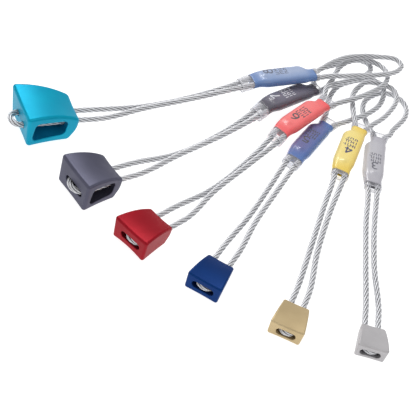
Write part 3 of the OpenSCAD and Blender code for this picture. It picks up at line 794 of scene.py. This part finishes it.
def anodised(name, colour, shade, glint, rough):
    """Dyed aluminium: a fine grain, faint clouds, paler edges that are partly wear and partly
    painted highlight, and painted shade on the walls of the holes and windows.
    """
    p = Paint(name)
    clouds = p.span(p.noise(55, 2), 0.35, 0.65)
    grain = p.noise(2600, 2, 0.7)
    body = p.mix(p.math("MULTIPLY", clouds, 0.22), colour, shade)
    # Edges are painted paler with the glint colour, partly as wear and partly as a painted
    # highlight.
    edge = p.span(p.value("edge"), 0.45, 1.0)
    wear_and_highlight = p.math("MULTIPLY", edge, p.span(p.noise(320, 4), 0.3, 0.7, 0.25, 0.8))
    body = p.mix(p.math("MULTIPLY", wear_and_highlight, 0.6), body, glint)
    # Painted shade: the walls of the holes, slot and windows are painted in the darker tone.
    body = p.mix(p.math("MULTIPLY", p.value("inner"), 0.75), body, shade)
    body = p.mix(p.math("MULTIPLY", grain, 0.05), body, glint)
    gloss = p.math("ADD", p.span(grain, 0.3, 0.7, rough - 0.04, rough + 0.06),
                   p.math("MULTIPLY", edge, -0.06))
    return p.finish({
        "Base Color": body, "Metallic": 0.35, "Roughness": gloss,
        "Normal": p.bump(grain, 0.12, 0.00005), "Specular IOR Level": 0.12})


def wire_paint():
    """Bare galvanised wires: their own bright grey on their backs, with painted shade darkening
    them between the strands.
    """
    p = Paint("wire_strands")
    proud = p.value("proud")
    tone = p.noise(160, 3)
    scratch = p.noise(3200, 3, 0.7)
    bright = p.mix(p.span(tone, 0.3, 0.7), srgb(218, 219, 223), srgb(233, 234, 237))
    dull = p.mix(p.math("MULTIPLY", scratch, 0.35), bright, srgb(188, 188, 191))
    # Painted shade: the wire is painted darker where it lies deep between the strands.
    body = p.mix(p.span(proud, 0.6, 0.93), srgb(112, 112, 116), dull)
    return p.finish({
        "Base Color": body, "Metallic": 0.4,
        "Roughness": p.span(scratch, 0.3, 0.7, 0.38, 0.55),
        "Normal": p.bump(scratch, 0.15, 0.00004)})


def film_paint(name, top, flank, end):
    """Printed film under a clear sleeve: painted light makes its upper left pale, painted shade
    makes its right side deeper, and it is deeper towards its ends.
    """
    p = Paint(name)
    weave = p.noise(900, 3)
    clouds = p.span(p.noise(90, 2), 0.3, 0.7)
    leftward = p.math("MULTIPLY", p.value("left"), 0.35)
    # Painted light and shade: the higher and more leftward parts of the film are painted paler, and
    # the lower parts deeper.
    high = p.span(p.math("ADD", p.value("height"), leftward), -0.5, 3.5)
    high = p.math("MULTIPLY", high, p.span(clouds, 0, 1, 0.75, 1))
    body = p.mix(high, flank, top)
    to_end = p.span(p.math("ABSOLUTE", p.value("along"), 0), 14, 21)
    body = p.mix(p.math("MULTIPLY", to_end, 0.75), body, end)
    body = p.mix(p.math("MULTIPLY", weave, 0.14), body, flank)
    return p.finish({
        "Base Color": body, "Roughness": p.span(weave, 0.3, 0.7, 0.36, 0.5),
        "Normal": p.bump(weave, 0.1, 0.00006), "Coat Weight": 0.55, "Coat Roughness": 0.16})


def sleeve_paint():
    """Clear shrunk-on tube: faint over the label, with pale outlines and rims past its ends."""
    p = Paint("clear_shrink")
    cloud = p.noise(240, 3)
    to_legs = p.span(p.value("along"), -23, -24)
    past = p.math("MAXIMUM", to_legs, p.span(p.value("along"), 20.8, 21.8))
    glancing = p.add("ShaderNodeLayerWeight", {"Blend": 0.35}).outputs["Facing"]
    film = p.math("MULTIPLY", p.math("POWER", glancing, 2), 0.6)
    film = p.math("ADD", film, p.span(cloud, 0.3, 0.7, 0.08, 0.18))
    rim = p.math("MULTIPLY", p.value("rim"), 0.55)
    alpha = p.math("ADD", p.math("ADD", 0.03, p.math("MULTIPLY", past, film)), rim)
    body = p.mix(cloud, srgb(206, 206, 214), srgb(226, 226, 232))
    return p.finish({
        "Base Color": body, "Roughness": p.span(cloud, 0.3, 0.7, 0.14, 0.24), "Alpha": alpha,
        "Normal": p.bump(cloud, 0.15, 0.0002)})


def pressed_paint():
    p = Paint("pressed_alloy")
    grain = p.noise(1800, 3)
    body = p.mix(grain, srgb(170, 171, 175), srgb(200, 201, 205))
    return p.finish({"Base Color": body, "Metallic": 0.9,
                     "Roughness": p.span(grain, 0.3, 0.7, 0.35, 0.55),
                     "Normal": p.bump(grain, 0.25, 0.0001)})


def ink_paint(name, colour):
    p = Paint(name)
    speck = p.noise(2400, 3)
    body = p.mix(p.math("MULTIPLY", speck, 0.4), colour, srgb(150, 150, 152))
    return p.finish({"Base Color": body, "Roughness": p.span(speck, 0.3, 0.7, 0.4, 0.6)})


NUT_ROUGH, SILVER_ROUGH = 0.42, 0.54
# Each nut's dye, its darker tone for the clouds and for painted shade inside the holes and windows,
# and its paler colour for worn edges, painted edge highlights and the grain.
NUT_COLOURS = {
    8: (srgb(0, 160, 192), srgb(0, 116, 164), srgb(40, 200, 220)),
    7: (srgb(90, 90, 108), srgb(34, 34, 46), srgb(134, 136, 156)),
    6: (srgb(162, 20, 36), srgb(90, 8, 22), srgb(212, 50, 56)),
    5: (srgb(8, 52, 116), srgb(6, 26, 72), srgb(20, 104, 184)),
    4: (srgb(206, 184, 142), srgb(146, 122, 84), srgb(236, 220, 186)),
    3: (srgb(196, 194, 196), srgb(130, 128, 132), srgb(226, 220, 216)),
}
# Each label's colour, painted lit on its top, painted shaded on its flanks, and deeper towards its
# ends.
LABEL_COLOURS = {
    8: (srgb(172, 186, 214), srgb(78, 122, 184), srgb(76, 120, 184)),
    7: (srgb(113, 108, 126), srgb(63, 57, 74), srgb(50, 44, 60)),
    6: (srgb(253, 125, 123), srgb(250, 88, 90), srgb(250, 74, 78)),
    5: (srgb(104, 98, 154), srgb(56, 106, 178), srgb(62, 110, 182)),
    4: (srgb(252, 234, 146), srgb(248, 212, 80), srgb(244, 208, 58)),
    3: (srgb(198, 197, 204), srgb(174, 172, 180), srgb(182, 180, 188)),
}
INKS = {8: srgb(88, 98, 124), 7: srgb(240, 240, 246), 6: srgb(72, 40, 44), 5: srgb(16, 14, 44),
        4: srgb(50, 40, 96), 3: srgb(98, 98, 112)}


def dress(obj, material):
    obj.data.materials.clear()
    obj.data.materials.append(material)


steel, clear, alloy = wire_paint(), sleeve_paint(), pressed_paint()
for rope in ropes:
    dress(rope, steel)
for sleeve in sleeves:
    dress(sleeve, clear)
for size in SLINGS:
    rough = SILVER_ROUGH if size == 3 else NUT_ROUGH
    dress(nuts[size], anodised(f"anodised_{size}", *NUT_COLOURS[size], rough))
    dress(labels[size], film_paint(f"film_{size}", *LABEL_COLOURS[size]))
    dress(prints[size], ink_paint(f"ink_{size}", INKS[size]))
    dress(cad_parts[f"ferrule_{size}"], alloy)

# ---------------------------------------------------------------- floor and light
FLOOR_HALF, FLOOR_Z = 3.0, -0.1 * MM
FLOOR_GLOW, SKY_LIGHT = 0.9, 0.42


def make_floor():
    corners = [(x * FLOOR_HALF, y * FLOOR_HALF, FLOOR_Z)
               for x, y in ((-1, -1), (1, -1), (1, 1), (-1, 1))]
    floor = build("floor", corners, [(0, 1, 2, 3)])
    p = Paint("pale_floor")
    tone = p.mix(p.noise(3, 2), srgb(166, 166, 166), srgb(170, 170, 170))
    dress(floor, p.finish({
        "Base Color": tone, "Roughness": 0.9, "Emission Color": (1, 1, 1, 1),
        "Emission Strength": FLOOR_GLOW}))


def area_light(name, place, size, power, aim=(0.02, 0.0, 0.0)):
    data = bpy.data.lights.new(name, "AREA")
    data.size, data.energy = size, power
    light = bpy.data.objects.new(name, data)
    light.location = place
    light.rotation_mode = "QUATERNION"
    light.rotation_quaternion = (Vector(aim) - Vector(place)).to_track_quat("-Z", "Y")
    bpy.context.scene.collection.objects.link(light)


def light_the_room():
    world = bpy.data.worlds.new("studio")
    world.use_nodes = True
    bpy.context.scene.world = world
    sky = world.node_tree.nodes["Background"].inputs
    sky["Color"].default_value = (1, 1, 1, 1)
    sky["Strength"].default_value = SKY_LIGHT
    area_light("key", (-0.35, 0.45, 0.8), size=0.5, power=6)
    area_light("fill", (0.6, -0.5, 0.7), size=0.7, power=2)


make_floor()
light_the_room()
bpy.context.scene.view_settings.view_transform = "Standard"

bpy.context.view_layer.update()
